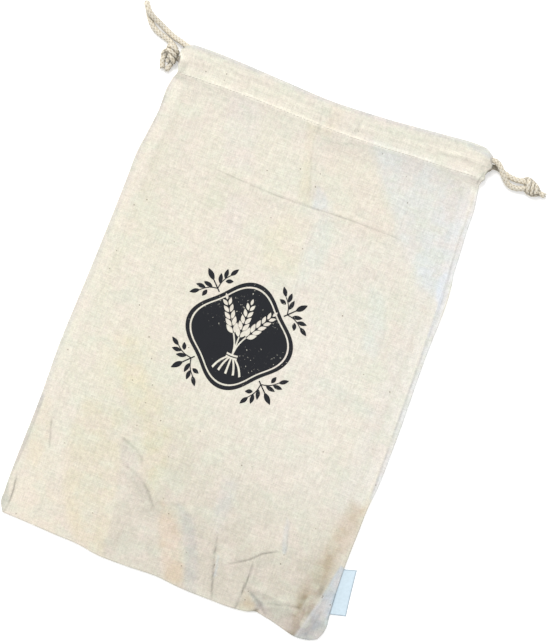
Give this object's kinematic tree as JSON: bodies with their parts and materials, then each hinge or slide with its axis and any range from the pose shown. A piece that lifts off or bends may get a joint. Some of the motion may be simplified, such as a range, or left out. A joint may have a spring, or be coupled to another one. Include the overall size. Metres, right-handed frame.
{
  "type": "linen bread bag",
  "caption": "Flat linen drawstring bread bag lying empty on its back, with corded casings at the mouth, cord knots at both sides and a blank label in the side seam.",
  "frame": {"origin": "middle of the footprint of the bag and its label, on the surface that the bag lies on", "axes": "+X across the bag towards the label's side, +Y up the bag towards its mouth, +Z out of the front"},
  "size_m": [0.3934, 0.4839, 0.0142],
  "materials": {
    "linen": "plain-woven slubby natural linen, matte, with a black printed medallion on the front",
    "cotton_cord": "braided natural cotton cord, matte, frayed at the ends",
    "label": "white satin ribbon, soft sheen, blank"
  },
  "bodies": {
    "root": {"bag_cloth": "linen", "left_cord": "cotton_cord", "left_knot": "cotton_cord", "right_cord": "cotton_cord", "right_knot": "cotton_cord", "side_label": "label"}
  },
  "joints": []
}
